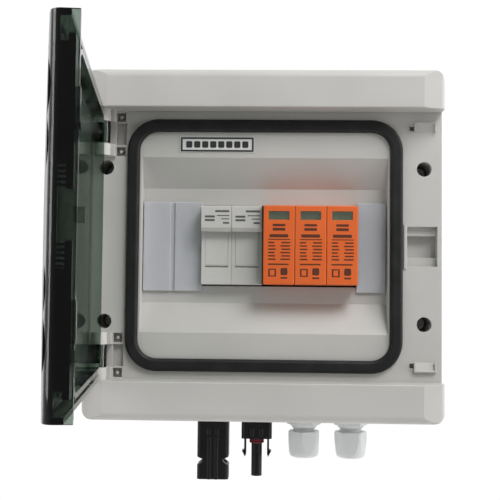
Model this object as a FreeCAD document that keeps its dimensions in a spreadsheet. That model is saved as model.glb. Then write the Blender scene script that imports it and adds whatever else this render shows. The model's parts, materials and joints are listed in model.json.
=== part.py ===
import FreeCAD, Part
import math
import os
import re

import Sketcher
from FreeCAD import Placement, Rotation, Vector

# A wall-mounted eight-way DC combiner box, as a parametric document in millimetres.
# +Z is up, +X is to the right and the front faces -Y. The origin is the centre of the back
# face, on the wall. A depth is a distance in front of that wall, so it is -Y.
# The door is drawn shut and then swung open about its hinge axis.

SIZES = [
    # enclosure
    ("box_width", 201, "width over the side walls"),
    ("box_height", 197, "height over the top and bottom walls"),
    ("box_corner", 7, "corner radius seen from the front"),
    ("parting_depth", 48, "depth of the joint between tray and cover"),
    ("recess_depth", 80.5, "depth of the face behind the door"),
    ("band_depth", 94.5, "depth of the raised bands above and below the door"),
    ("band_inner", 76.5, "height at which each raised band begins"),
    ("band_round", 5, "rounding of the band's outer edge"),
    ("bevel_end", 11.9, "length of the sloped ends of bands and door"),
    ("bevel_back", 3, "how far the sloped ends of the bands fall back"),
    ("door_edge_round", 4.5, "rounding of the door's free edge"),
    ("tray_wall", 3, "wall of the tray"),
    ("tray_back", 2.5, "back wall of the tray"),
    ("cover_wall", 2.5, "side wall of the cover"),
    ("cover_skin", 2.4, "front wall of the cover"),
    ("edge_rib", 4.7, "inner face of the rib inside the cover's joint edge"),
    # joint between tray and cover
    ("channel_outer", 1.6, "outer side of the gasket channel, from the outside"),
    ("channel_inner", 3.2, "inner side of the gasket channel, from the outside"),
    ("channel_depth", 53.5, "depth of the channel's bottom"),
    ("tongue_depth", 51, "depth of the tray's tongue"),
    # cover screws
    ("screw_across", 90.6, "X of the cover screws"),
    ("screw_up", 44, "Z of the cover screws"),
    ("well_radius", 4.2, "screw well"),
    ("well_tube", 6, "outside of the tube around a well"),
    ("well_bottom", 55, "depth of the well's bottom"),
    ("post_radius", 5, "screw posts of the tray"),
    # module trough
    ("trough_half_width", 70.3, "half width of the trough"),
    ("trough_mouth", 50, "half height of the trough at the front"),
    ("trough_floor", 33, "half height of the trough's flat floor"),
    ("floor_depth", 71.5, "depth of the trough's floor"),
    ("window_half_width", 70, "half width of the module window, eight modules of 17.5"),
    ("window_half_height", 23.3, "half height of the module window"),
    # door seal
    ("seal_half_width", 78.5, "half width over the seal"),
    ("seal_half_height", 71.8, "half height over the seal"),
    ("seal_corner", 18, "outer corner radius of the seal"),
    ("seal_band", 7.1, "width of the seal's section"),
    ("seal_round", 1.8, "rounding of the seal's front edges"),
    ("seal_proud", 3, "how far the seal stands out of the recess"),
    ("groove_deep", 3, "depth of the seal's groove"),
    # latch pocket and keepers
    ("pocket_left", 81, "left side of the latch pocket"),
    ("pocket_right", 98, "right side of the latch pocket"),
    ("pocket_half", 11.3, "half height of the latch pocket"),
    ("pocket_middle", 6.2, "half height of its deep middle"),
    ("ledge_deep", 3, "depth of its ledges"),
    ("pocket_deep", 7.6, "depth of its middle"),
    # hinge
    ("hinge_x", -92, "X of the hinge axis"),
    ("hinge_depth", 85.5, "depth of the hinge axis"),
    ("hinge_pin", 1.5, "radius of the hinge pins"),
    ("lug_round", 4.5, "radius of a lug about the axis"),
    ("lug_foot", 6.5, "how far a lug's foot reaches right of the axis"),
    ("lug_inner_low", 50, "inner lug, lowest height"),
    ("lug_inner_top", 56.8, "inner lug, highest height"),
    ("lug_outer_low", 69.7, "outer lug, lowest height"),
    ("knuckle_low", 57, "door knuckle, lowest height"),
    ("knuckle_top", 69.5, "door knuckle, highest height"),
    ("knuckle_round", 4.2, "radius of a door knuckle"),
    ("running_gap", 0.05, "radial clearance of a turning fit"),
    # door
    ("door_half", 75.75, "half height of the door"),
    ("door_left", -95, "hinge-side edge of the shut door"),
    ("door_right", 100, "free edge of the shut door"),
    ("door_rim", 81.1, "depth of the shut door's rim at its free edge"),
    ("door_rim_ends", 84.6, "depth of that rim along the top and bottom walls"),
    ("door_wall", 2.4, "wall of the door"),
    ("door_crown", 2200, "radius of the door's slight outward curve"),
    ("door_angle", 83, "opening of the door at rest, degrees"),
    ("rib_half_width", 77, "half width of the door's sealing rib"),
    ("rib_half_height", 70.4, "half height of the door's sealing rib"),
    ("rib_corner", 16, "corner radius of the sealing rib"),
    ("rib_thick", 2.2, "thickness of the sealing rib"),
    ("rib_tip", 83.7, "depth of the sealing rib's tip"),
    ("grip_low", 9.4, "grip bar, end towards the latch"),
    ("grip_step", 19.6, "grip bar, end of its ribbed part"),
    ("grip_top", 64, "grip bar, end towards the corner"),
    ("grip_reach", 9.5, "thickness of the grip bar behind the free edge"),
    ("grip_back", 82.8, "depth of the grip bar's back"),
    # DIN rail
    ("rail_plane", 21.5, "depth of the rail's front face"),
    ("rail_half", 17.5, "half height of the rail"),
    ("rail_tall", 7.5, "height of the hat section"),
    ("rail_sheet", 1, "thickness of the rail"),
    ("rail_half_length", 68, "half length of the rail"),
    ("rail_screw_x", 60, "X of the rail screws"),
    # modules, depths counted from the rail's front face
    ("shoulder", 44, "front of a module's shoulders"),
    ("module_rear", -6, "back of a module"),
    ("module_half", 42, "half height of a module's body"),
    ("nose_half", 22.5, "half height of a module's nose"),
    ("fuse_width", 17.3, "width of a fuse holder"),
    ("fuse_first", -35.8, "left side of the left fuse holder"),
    ("fuse_second", -18.4, "left side of the right fuse holder"),
    ("fuse_face", 56, "front of a fuse holder's lower part"),
    ("label_face", 61, "front of a fuse carrier's handle"),
    ("cavity_half", 6.6, "half width of a fuse holder's inside"),
    ("pivot_up", -10.6, "height of a fuse carrier's pivot"),
    ("pivot_out", 54.2, "distance of that pivot from the rail"),
    ("barrel", 1.8, "radius of the carrier's barrel"),
    ("axle", 1.1, "radius of the carrier's axle"),
    ("handle_low", 7.6, "lower edge of the carrier's handle"),
    ("fuse_out", 43.5, "distance of the fuse's axis from the rail"),
    ("fuse_low", -21, "lower end of the fuse"),
    ("fuse_top", 17, "upper end of the fuse"),
    ("fuse_radius", 5.15, "radius of the fuse's caps"),
    ("pole_first", -0.3, "left side of the first surge cartridge"),
    ("pole_pitch", 17.8, "pitch of the surge cartridges"),
    ("pole_width", 17.6, "width of a surge cartridge"),
    ("pole_face", 65.5, "front of a surge cartridge"),
    ("pole_seat", 21, "back of a surge cartridge"),
    ("surge_left", -1, "left side of the surge base"),
    ("surge_right", 53.1, "right side of the surge base"),
    ("surge_side", 0.6, "side wall of the surge base"),
    ("view_low", 14.2, "lower edge of the indicator window"),
    ("view_top", 19.1, "upper edge of the indicator window"),
    ("view_half", 5.8, "half width of the indicator window"),
    # blanking plates
    ("blank_half", 25.6, "half height of a blanking plate"),
    ("blank_drop", 0.6, "how far a blanking plate hangs below the middle of the window"),
    ("blank_thick", 1.5, "thickness of a blanking plate"),
    ("blank_left_end", -69.8, "left end of the left plate"),
    ("blank_left_stop", -35.95, "right end of the left plate"),
    ("blank_right_start", 53.25, "left end of the right plate"),
    ("blank_right_end", 69.8, "right end of the right plate"),
    # ports in the bottom wall
    ("port_depth", 23, "depth of the row of ports"),
    ("plus_x", -31.3, "X of the plus connector"),
    ("minus_x", -4.3, "X of the minus connector"),
    ("gland_first_x", 25, "X of the first gland"),
    ("gland_second_x", 54, "X of the second gland"),
    ("connector_thread", 6, "radius of a connector's threaded root"),
    ("plus_end", 43.4, "lower end of the plus connector, below the box"),
    ("plus_half", 9.7, "half width of the plus connector"),
    ("collar_half", 9.4, "half width of the minus connector's collar"),
    ("collar_end", 18.3, "lower end of that collar, below the box"),
    ("tube_radius", 3.3, "radius of the minus connector's tube"),
    ("tube_end", 41.6, "lower end of the minus connector's tube, below the box"),
    ("plug_half_deep", 7, "half depth of both connectors"),
    ("boss_top", 12.2, "upper end of the connectors' small bosses, below the box"),
    ("boss_x", 2.7, "distance of the bosses from a connector's middle"),
    ("gland_thread", 7.6, "radius of a gland's thread"),
    ("gland_flats", 18, "width over the flats of a gland's hexagons"),
    ("nut_end", 29.6, "lower end of a gland's dome nut, below the box"),
    ("nut_long", 16, "length of a dome nut"),
    ("gland_bore", 4, "radius of a gland's cable opening"),
    # wires
    ("wire_radius", 1.9, "radius of a wire with its insulation"),
    ("wire_bend", 8, "radius of the bends in a wire"),
    # wall fixing
    ("fixing_x", 80, "X of the wall-fixing holes"),
    ("fixing_z", 82, "Z of the wall-fixing holes"),
    ("fixing_hole", 2.6, "radius of the wall-fixing holes"),
]

doc = FreeCAD.newDocument("combiner_box")
sheet = doc.addObject("Spreadsheet::Sheet", "Dims")
for row, (alias, value, meaning) in enumerate(SIZES, start=1):
    sheet.set("A%d" % row, meaning)
    sheet.set("B%d" % row, str(value))
    sheet.setAlias("B%d" % row, alias)
doc.recompute()

ALIASES = {alias for alias, value, meaning in SIZES}
TOWARDS = {
    "right": Vector(1, 0, 0),
    "front": Vector(0, -1, 0),
    "up": Vector(0, 0, 1),
    "down": Vector(0, 0, -1),
}
# A drawing plane, and the signs that turn its pair of coordinates into the sketch's own.
# front is drawn in X and Z, side in depth and Z, top in X and depth.
PLANES = {"front": ("XZ_Plane", 1, 1), "side": ("YZ_Plane", -1, 1), "top": ("XY_Plane", 1, -1)}
sub_parts = []


# ---- expressions -------------------------------------------------------------------------


def linked(text):
    """The expression, with each alias written as a reference to its cell."""
    def written(word):
        return "Dims." + word[0] if word[0] in ALIASES else word[0]

    return re.sub(r"[a-z_]+", written, str(text))


def number(text):
    return float(sheet.evalExpression(linked(text)))


def bind(thing, name, text):
    thing.setExpression(name, linked(text))


def both(half):
    """The span from minus a half to plus a half."""
    return ("-(%s)" % half, "%s" % half)


def mirrored(sign, low, high):
    """The span from low to high, or its mirror image when the sign is -1."""
    return ["%d * (%s)" % (sign, edge) for edge in (low, high)][::sign]


def around(middle, half):
    """The span that reaches a half to each side of a middle."""
    return ("(%s) - %s" % (middle, half), "(%s) + %s" % (middle, half))


def out(distance):
    """The depth of a point at a distance in front of the rail's face."""
    return "rail_plane + (%s)" % distance


def plus(start, extra):
    return "(%s) + (%s)" % (start, extra)


# ---- solids ------------------------------------------------------------------------------


def put(thing, x, depth, z):
    bind(thing, "Placement.Base.x", x)
    bind(thing, "Placement.Base.y", "-(%s)" % depth)
    bind(thing, "Placement.Base.z", z)
    return thing


def turn_towards(thing, towards):
    thing.Placement = Placement(Vector(), Rotation(Vector(0, 0, 1), TOWARDS[towards]))


def block(x, depth, z):
    """A box between two X values, two depths and two heights."""
    thing = doc.addObject("Part::Box", "Block")
    for side, (low, high) in zip(("Length", "Width", "Height"), (x, depth, z)):
        bind(thing, side, "(%s) - (%s)" % (high, low))
    return put(thing, x[0], depth[1], z[0])


def rod(radius, at, towards, length):
    thing = doc.addObject("Part::Cylinder", "Rod")
    turn_towards(thing, towards)
    bind(thing, "Radius", radius)
    bind(thing, "Height", length)
    return put(thing, *at)


def hexagon(across, at, length, turn=0):
    """An upright six-sided prism, its width given across two opposite flats."""
    thing = doc.addObject("Part::Prism", "Hexagon")
    thing.Polygon = 6
    thing.Placement = Placement(Vector(), Rotation(Vector(0, 0, 1), turn))
    bind(thing, "Circumradius", "(%s) / sqrt(3)" % across)
    bind(thing, "Height", length)
    return put(thing, *at)


def joined(*pieces):
    thing = doc.addObject("Part::MultiFuse", "Joined")
    thing.Shapes = list(pieces)
    thing.Refine = True
    return thing


def shared(*pieces):
    thing = doc.addObject("Part::MultiCommon", "Shared")
    thing.Shapes = list(pieces)
    return thing


def less(whole, *tools):
    """The whole with every tool cut away."""
    thing = doc.addObject("Part::Cut", "Less")
    thing.Base = whole
    thing.Tool = joined(*tools) if len(tools) > 1 else tools[0]
    return thing


def group(*pieces):
    thing = doc.addObject("Part::Compound", "Group")
    thing.Links = list(pieces)
    return thing


def node(name, piece):
    """Keeps a finished piece as the sub-part of that name."""
    piece.Label = name
    sub_parts.append(piece)
    return piece


# ---- sketches ----------------------------------------------------------------------------


def drawing(plane, start):
    """A new body, with an empty sketch on one of its own planes."""
    body = doc.addObject("PartDesign::Body", "Body")
    sketch = body.newObject("Sketcher::SketchObject", "Sketch")
    role = PLANES[plane][0]
    own = [feature for feature in body.Origin.OriginFeatures if feature.Role == role]
    sketch.AttachmentSupport = [(own[0], "")]
    sketch.MapMode = "FlatFace"
    bind(sketch, "AttachmentOffset.Base.z", start)
    return body, sketch


def pin_point(sketch, line, kind, text):
    """Holds the start of a line at a bound distance from the sketch's origin."""
    value = number(text)
    if abs(value) < 1e-9:
        axis = -2 if kind == "DistanceX" else -1
        sketch.addConstraint(Sketcher.Constraint("PointOnObject", line, 1, axis))
        return
    ends = (-1, 1, line, 1) if value > 0 else (line, 1, -1, 1)
    index = sketch.addConstraint(Sketcher.Constraint(kind, *ends, abs(value)))
    bind(sketch, "Constraints[%d]" % index, text if value > 0 else "-(%s)" % text)


def draw_polygon(sketch, corners):
    """A closed outline through corners given in the sketch's own coordinates."""
    spots = [Vector(number(a), number(b), 0) for a, b in corners]
    for here, there in zip(spots, spots[1:] + spots[:1]):
        sketch.addGeometry(Part.LineSegment(here, there), False)
    for line, (a, b) in enumerate(corners):
        following = (line + 1) % len(corners)
        sketch.addConstraint(Sketcher.Constraint("Coincident", line, 2, following, 1))
        pin_point(sketch, line, "DistanceX", a)
        pin_point(sketch, line, "DistanceY", b)


def draw_rounded(sketch, half_a, half_b, radius):
    """A rectangle with round corners, centred on the sketch's origin."""
    first = sketch.GeometryCount
    a, b, corner = number(half_a), number(half_b), number(radius)
    for turn, (side_a, side_b) in enumerate(((1, 1), (-1, 1), (-1, -1), (1, -1))):
        centre = Vector(side_a * (a - corner), side_b * (b - corner), 0)
        circle = Part.Circle(centre, Vector(0, 0, 1), corner)
        begin = turn * math.pi / 2
        sketch.addGeometry(Part.ArcOfCircle(circle, begin, begin + math.pi / 2), False)
    for turn in range(4):
        here = sketch.Geometry[first + turn].EndPoint
        there = sketch.Geometry[first + (turn + 1) % 4].StartPoint
        line = sketch.addGeometry(Part.LineSegment(here, there), False)
        sketch.addConstraint(Sketcher.Constraint("Tangent", first + turn, 2, line, 1))
        sketch.addConstraint(Sketcher.Constraint("Tangent", line, 2, first + (turn + 1) % 4, 1))
        sketch.addConstraint(Sketcher.Constraint("Vertical" if turn % 2 else "Horizontal", line))
        if turn:
            sketch.addConstraint(Sketcher.Constraint("Equal", first, first + turn))
    bound = [
        (Sketcher.Constraint("Radius", first, corner), radius),
        (Sketcher.Constraint("DistanceX", -1, 1, first, 1, a), half_a),
        (Sketcher.Constraint("DistanceY", -1, 1, first, 2, b), half_b),
        (Sketcher.Constraint("DistanceX", first + 2, 1, -1, 1, a), half_a),
        (Sketcher.Constraint("DistanceY", first + 2, 2, -1, 1, b), half_b),
    ]
    for constraint, text in bound:
        bind(sketch, "Constraints[%d]" % sketch.addConstraint(constraint), text)


def pad(body, sketch, span):
    feature = body.newObject("PartDesign::Pad", "Pad")
    feature.Profile = sketch
    bind(feature, "Length", "(%s) - (%s)" % (span[1], span[0]))
    return body


def prism(plane, outline, span):
    """An outline in one plane's coordinates, drawn out over a span across that plane."""
    sign_a, sign_b = PLANES[plane][1:]
    body, sketch = drawing(plane, span[0])
    draw_polygon(sketch, [("%d * (%s)" % (sign_a, a), "%d * (%s)" % (sign_b, b)) for a, b in outline])
    return pad(body, sketch, span)


def rounded(half_x, half_z, radius, depth, opening=None):
    """A plate with round corners, seen from the front, and an opening of the same kind."""
    body, sketch = drawing("front", depth[0])
    draw_rounded(sketch, half_x, half_z, radius)
    if opening:
        draw_rounded(sketch, *opening)
    return pad(body, sketch, depth)


def outline_ring(outer, inner, depth):
    """A ring that follows the enclosure's outline, between two distances from the outside."""
    walls = []
    for inset in (outer, inner):
        walls.append([size + " - (%s)" % inset for size in ("box_width / 2", "box_height / 2", "box_corner")])
    return rounded(*walls[0], depth, walls[1])


def turned(profile, at, towards):
    """A body of revolution from a closed profile of (radius, distance along the axis)."""
    body, sketch = drawing("front", "0")
    draw_polygon(sketch, profile)
    feature = body.newObject("PartDesign::Revolution", "Revolution")
    feature.Profile = sketch
    feature.ReferenceAxis = (sketch, ["V_Axis"])
    feature.Angle = 360
    turn_towards(body, towards)
    put(body, *at)
    return body


def edges_along(shape, towards, chosen):
    """The names of the straight edges that run along a direction and pass a test."""
    names = []
    for place, edge in enumerate(shape.Edges, start=1):
        straight = edge.Curve.TypeId == "Part::GeomLine"
        if straight and abs(abs(edge.tangentAt(0).dot(TOWARDS[towards])) - 1) < 1e-6:
            if chosen(edge.CenterOfMass):
                names.append("Edge%d" % place)
    return names


def soften(body, size, towards, chosen=lambda middle: True):
    """Rounds the straight edges of a body that run along a direction and pass a test."""
    doc.recompute()
    solid = body.Tip
    names = edges_along(body.Shape, towards, chosen)
    feature = body.newObject("PartDesign::Fillet", "Fillet")
    feature.Base = (solid, names)
    bind(feature, "Radius", size)
    body.Tip = feature
    doc.recompute()
    return body


# ---- enclosure ---------------------------------------------------------------------------


def corner_spots(x, z):
    """The four combinations of plus and minus x and z."""
    return [(side_x + x, side_z + z) for side_x in ("-", "") for side_z in ("-", "")]


def base_tray():
    half_x, half_z = "box_width / 2", "box_height / 2"
    outside = rounded(half_x, half_z, "box_corner", ("0", "parting_depth"))
    hollow = rounded(half_x + " - tray_wall", half_z + " - tray_wall", "box_corner - tray_wall",
                     ("tray_back", "parting_depth + 1"))
    tongue = outline_ring("channel_outer + 0.2", "tray_wall", ("parting_depth - 0.5", "tongue_depth"))
    posts, bores = [], []
    for x, z in corner_spots("screw_across", "screw_up"):
        posts.append(rod("post_radius", (x, "tray_back - 0.5", z), "front", "tongue_depth - tray_back"))
        bores.append(rod("2", (x, "tray_back + 20", z), "front", "parting_depth"))
    for x in ("-rail_screw_x", "rail_screw_x"):
        foot = "rail_plane - rail_tall - tray_back + 0.5"
        posts.append(rod("post_radius", (x, "tray_back - 0.5", "0"), "front", foot))
        bores.append(rod("1.6", (x, "tray_back + 2", "0"), "front", "rail_plane"))
    for x, z in corner_spots("fixing_x", "fixing_z"):
        posts.append(rod("post_radius", (x, "tray_back - 0.5", z), "front", "2"))
        bores.append(rod("fixing_hole", (x, "-1", z), "front", "8"))
    for x, radius in (("plus_x", "connector_thread"), ("minus_x", "connector_thread"),
                      ("gland_first_x", "gland_thread"), ("gland_second_x", "gland_thread")):
        start = (x, "port_depth", "1 - box_height / 2 + tray_wall")
        bores.append(rod(radius + " + 0.1", start, "down", "tray_wall + 2"))
    return less(joined(less(outside, hollow), tongue, *posts), *bores)


def cover_outside():
    """The cover's outer form: outline from the front, bands from the side, bevels from above."""
    outline = rounded("box_width / 2", "box_height / 2", "box_corner", ("parting_depth", "band_depth + 1"))
    top, inner, front, back = "box_height / 2", "band_inner", "band_depth", "parting_depth"
    face = "recess_depth"
    side_view = [(back, "-" + top), (front, "-" + top), (front, "-" + inner), (face, "-" + inner),
                 (face, inner), (front, inner), (front, top), (back, top)]
    bands = prism("side", side_view, both("(box_width / 2 + 1)"))
    crest, border = number("-band_depth"), number(inner)

    def outer_crest(middle):
        return abs(middle.y - crest) < 0.1 and abs(middle.z) > border + 1

    def inner_crest(middle):
        return abs(middle.y - crest) < 0.1 and abs(middle.z) < border + 1

    soften(bands, "band_round", "right", outer_crest)
    soften(bands, "0.8", "right", inner_crest)
    side, fallen = "box_width / 2", "band_depth - bevel_back"
    top_view = [("-" + side, back), (side, back), (side, fallen), (side + " - bevel_end", front),
                ("-(%s - bevel_end)" % side, front), ("-" + side, fallen)]
    ends = prism("top", top_view, both("(box_height / 2 + 1)"))
    soften(ends, "2.5", "up", lambda middle: abs(middle.y + number(fallen)) < 0.1)
    return shared(outline, bands, ends)


def trough_outline(front, extra):
    """The trough seen from the side, with its slopes moved outwards by an extra thickness."""
    mouth, foot = "trough_mouth + %s" % extra, "trough_floor + %s / 2" % extra
    rear = "floor_depth - %s" % extra
    slope = "(trough_mouth - trough_floor) / (recess_depth - floor_depth)"
    wide = "(%s) + (%s - recess_depth) * %s" % (mouth, front, slope)
    return [(front, "-(%s)" % wide), (rear, "-(%s)" % foot), (rear, foot), (front, wide)]


def cover_inside():
    """The hollow of the cover: everything inside its walls, apart from what is moulded on them."""
    half_x, half_z = "box_width / 2", "box_height / 2"
    joint = rounded(half_x + " - edge_rib", half_z + " - edge_rib", "2.5", ("parting_depth - 1", "56"))
    room = rounded(half_x + " - cover_wall", half_z + " - cover_wall", "box_corner - cover_wall",
                   ("55.9", "recess_depth - cover_skin"))
    rooms = [joint, room]
    for sign in (1, -1):
        rooms.append(block(both("(box_width / 2 - 6)"), ("recess_depth - 5", "band_depth - 4.2"),
                           mirrored(sign, "band_inner + 2.4", "box_height / 2 - 3")))
    trough = prism("side", trough_outline("recess_depth", "2.2"), both("(trough_half_width + 2.2)"))
    groove_back = rounded("seal_half_width + 2", "seal_half_height + 2", "seal_corner + 2",
                          ("recess_depth - groove_deep - 2", "recess_depth"))
    behind = ("recess_depth - groove_deep - 3", "recess_depth - cover_skin")
    lighten = [block(both("(trough_half_width - 3)"), behind, mirrored(sign, "55.5", "61.5"))
               for sign in (1, -1)]
    moulded = [trough, less(groove_back, *lighten)]
    for x, z in corner_spots("screw_across", "screw_up"):
        moulded.append(rod("well_tube", (x, "well_bottom - 3", z), "front", "recess_depth - well_bottom + 3"))
    moulded.append(block(("pocket_left - 2", "pocket_right + 1"),
                         ("recess_depth - pocket_deep - 2.2", "recess_depth"), both("(pocket_half + 2)")))
    backing = ("recess_depth - 6", "recess_depth")
    for sign in (1, -1):
        hinge_side = mirrored(sign, "lug_inner_low", "band_inner")
        moulded.append(block(("hinge_x - 6", "hinge_x + 14.5"), backing, hinge_side))
        moulded.append(block(("82", "86"), backing, mirrored(sign, "64", "71.5")))
    return less(joined(*rooms), *moulded)


def hinge_lug(low, high):
    """One upstanding lug: a round nose about the hinge axis, on a straight foot."""
    foot = block(("hinge_x - lug_round", "hinge_x + lug_foot"), ("recess_depth - 1", "hinge_depth + 1.2"),
                 (low, high))
    nose = rod("lug_round", ("hinge_x", "hinge_depth", low), "up", "(%s) - (%s)" % (high, low))
    return joined(foot, nose)


def hinge_side_features():
    """The lugs to add to the cover, and the pockets and pin holes to cut out of it."""
    added, removed = [], []
    lugs = [("lug_inner_low", "lug_inner_top", "53.2"), ("lug_outer_low", "band_inner", "73")]
    for sign in (1, -1):
        for low, high, spot in lugs:
            added.append(hinge_lug(*mirrored(sign, low, high)))
            middle = "%d * %s" % (sign, spot)
            pocket = block(around("hinge_x + 9.5", "2.6"), ("recess_depth - 4", "recess_depth + 1"),
                           around(middle, "2.6"))
            stub = rod("0.9", ("hinge_x + 9.5", "recess_depth - 4.5", middle), "front", "3.6")
            removed.append(less(pocket, stub))
        removed.append(block(("hinge_x + 6.9", "hinge_x + 12.6"), ("recess_depth - 2.6", "recess_depth + 1"),
                             mirrored(sign, "knuckle_low", "knuckle_top")))
        hole = mirrored(sign, "lug_inner_low + 1.2", "band_inner - 1.2")
        length = "(%s) - (%s)" % (hole[1], hole[0])
        removed.append(rod("hinge_pin", ("hinge_x", "hinge_depth", hole[0]), "up", length))
    return added, removed


def keeper(sign):
    """One of the two stops at the free side of the recess: a ramp between two cheeks and a ledge."""
    rise = ("recess_depth - 0.5", "recess_depth + 2")
    frame = block(("84.8", "97.2"), rise, mirrored(sign, "65.3", "70.6"))
    low, high = "%d * 65" % sign, "%d * 69.8" % sign
    ramp = prism("side", [("recess_depth", low), ("recess_depth + 3", low), ("recess_depth + 3", high),
                          ("recess_depth + 1.6", high)], ("85.8", "96.2"))
    return less(frame, ramp)


def front_cover():
    added, removed = hinge_side_features()
    added += [keeper(1), keeper(-1)]
    added.append(block(("79.2", "80.4"), ("recess_depth - 0.5", "recess_depth + 0.8"), both("12.6")))
    walls = joined(less(cover_outside(), cover_inside()), *added)
    seal_inner = [text + " - seal_band" for text in ("seal_half_width", "seal_half_height", "seal_corner")]
    groove = rounded("seal_half_width", "seal_half_height", "seal_corner",
                     ("recess_depth - groove_deep", "recess_depth + 1"), seal_inner)
    removed.append(groove)
    removed.append(prism("side", trough_outline("(recess_depth + 1)", "0"), both("trough_half_width")))
    removed.append(block(both("window_half_width"), ("floor_depth - 4", "floor_depth + 1"),
                         both("window_half_height")))
    removed.append(outline_ring("channel_outer", "channel_inner", ("parting_depth - 1", "channel_depth")))
    for x, z in corner_spots("screw_across", "screw_up"):
        removed.append(rod("well_radius", (x, "well_bottom", z), "front", "recess_depth - well_bottom + 1"))
        removed.append(rod("2.2", (x, "well_bottom - 4", z), "front", "5"))
    for sign in (1, -1):
        removed.append(block(("82.4", "84.8"), ("recess_depth - 3", "recess_depth + 1"),
                             mirrored(sign, "66", "68.4")))
    pocket = ("pocket_left", "pocket_right")
    removed.append(block(pocket, ("recess_depth - ledge_deep", "recess_depth + 1"), both("pocket_half")))
    removed.append(block(pocket, ("recess_depth - pocket_deep", "recess_depth"), both("pocket_middle")))
    return less(walls, *removed)


def cover_gasket():
    return outline_ring("channel_outer + 0.1", "channel_inner - 0.1", ("tongue_depth", "channel_depth"))


def door_seal():
    """The rubber ring that the door's rib closes on, with a rounded front."""
    inner = [text + " - seal_band + 0.05" for text in ("seal_half_width", "seal_half_height", "seal_corner")]
    outer = [text + " - 0.05" for text in ("seal_half_width", "seal_half_height", "seal_corner")]
    ring = rounded(*outer, ("recess_depth - groove_deep", "recess_depth + seal_proud"), inner)
    doc.recompute()
    front = number("-(recess_depth + seal_proud)")
    names = ["Edge%d" % place for place, edge in enumerate(ring.Shape.Edges, start=1)
             if abs(edge.BoundBox.YMax - front) < 0.01]
    solid = ring.Tip
    rounding = ring.newObject("PartDesign::Fillet", "Fillet")
    rounding.Base = (solid, names)
    bind(rounding, "Radius", "seal_round")
    ring.Tip = rounding
    return ring


def cover_screws():
    """Four cross-recessed screws that hold the cover to the tray's posts."""
    screws = []
    for x, z in corner_spots("screw_across", "screw_up"):
        head = rod("3.5", (x, "well_bottom", z), "front", "3")
        shank = rod("1.95", (x, "well_bottom - 19", z), "front", "20")
        recess = ("well_bottom + 1.4", "well_bottom + 4")
        slot_wide = block(around(x, "2.2"), recess, around(z, "0.5"))
        slot_tall = block(around(x, "0.5"), recess, around(z, "2.2"))
        screws.append(less(joined(head, shank), slot_wide, slot_tall))
    return group(*screws)


def hinge_pins():
    """Two steel pins, each through a pair of lugs and the door knuckle between them."""
    length = "band_inner - lug_inner_low - 2.4"
    pins = [rod("hinge_pin", ("hinge_x", "hinge_depth", low), "up", length)
            for low in ("lug_inner_low + 1.2", "1.2 - band_inner")]
    return group(*pins)


def way_label():
    return block(("-48.5", "-6"), ("recess_depth", "recess_depth + 0.4"), ("53", "62"))


# ---- door --------------------------------------------------------------------------------


def door_outside():
    """The door's outer form: sloped ends seen from above, and a slight outward curve."""
    front, slope_end = "band_depth", "box_width / 2 - bevel_end"
    left_fall = "band_depth - bevel_back * (-door_left - (%s)) / bevel_end" % slope_end
    top_view = [("door_left", "door_rim"), ("door_right", "door_rim"),
                ("door_right", "band_depth - bevel_back"), (slope_end, front), ("-(%s)" % slope_end, front),
                ("door_left", left_fall)]
    slab = prism("top", top_view, both("door_half"))
    free_edge = number("door_right") - 1
    crest = -number("door_rim") - 4
    soften(slab, "door_edge_round", "up", lambda middle: middle.x > free_edge and middle.y < crest)
    crown = rod("door_crown", ("-(door_right + 5)", "band_depth - door_crown", "0"), "right",
                "2 * door_right + 10")
    return shared(slab, crown)


def door_knuckle(low, high):
    """A round knuckle about the hinge axis, with a web up to the door's skin."""
    barrel = rod("knuckle_round", ("hinge_x", "hinge_depth", low), "up", "(%s) - (%s)" % (high, low))
    web = block(("hinge_x - 2", "hinge_x + 6"), ("hinge_depth + 0.5", "band_depth - 2.5"), (low, high))
    return joined(barrel, web)


def grip_bar(sign):
    """The thick bar behind the free edge that a hand pulls on, with ribs at its inner end."""
    reach = ("door_right - door_wall - grip_reach", "door_right - 1")
    front, rear = "band_depth - 3.6", ("grip_back", "grip_back + 2.7")
    pieces = [block(reach, ("grip_back", front), mirrored(sign, "grip_step", "grip_top")),
              block(reach, rear, mirrored(sign, "grip_low", "grip_step + 0.5")),
              block(reach, rear, mirrored(sign, "grip_top - 0.5", "grip_top + 3"))]
    for place in range(5):
        middle = "%d * (grip_low + 1.5 + 2 * %d)" % (sign, place)
        pieces.append(block(reach, ("grip_back + 2", front), around(middle, "0.45")))
    return pieces


def latch_hook():
    """The small hook inside the free edge that snaps into the cover's latch pocket."""
    inner_face, height = "door_right - door_wall", both("3")
    blade_depth, root_depth = ("recess_depth - 2.2", "door_rim + 1.6"), ("door_rim + 0.2", "door_rim + 1.6")
    blade = block((inner_face + " - 1.8", inner_face + " - 0.2"), blade_depth, height)
    root = block((inner_face + " - 1.8", inner_face + " + 0.2"), root_depth, height)
    return [blade, root]


def door_hollow():
    """The space inside the door, and what is cut out of its walls' rims."""
    inner_face, inner_skin = "door_right - door_wall", "band_depth - 3.7"
    top_view = [("door_left - 5", "door_rim - 1"), (inner_face, "door_rim - 1"),
                (inner_face, "band_depth - bevel_back - 3"), ("box_width / 2 - bevel_end", inner_skin),
                ("door_left - 5", inner_skin)]
    hollow = prism("top", top_view, both("(door_half - door_wall)"))
    skin = -number("band_depth") + 4.5
    soften(hollow, "2", "right", lambda middle: middle.y < skin)
    cuts = [hollow]
    for sign in (1, -1):
        cuts.append(block(("door_left - 5", inner_face), ("door_rim - 1", "door_rim_ends"),
                          mirrored(sign, "door_half - door_wall - 0.5", "door_half + 1")))
        cuts.append(block(("door_left - 5", "hinge_x + 8.2"), ("door_rim - 1", "hinge_depth + 5.2"),
                          mirrored(sign, "door_half - 8", "door_half + 1")))
    return cuts


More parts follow.
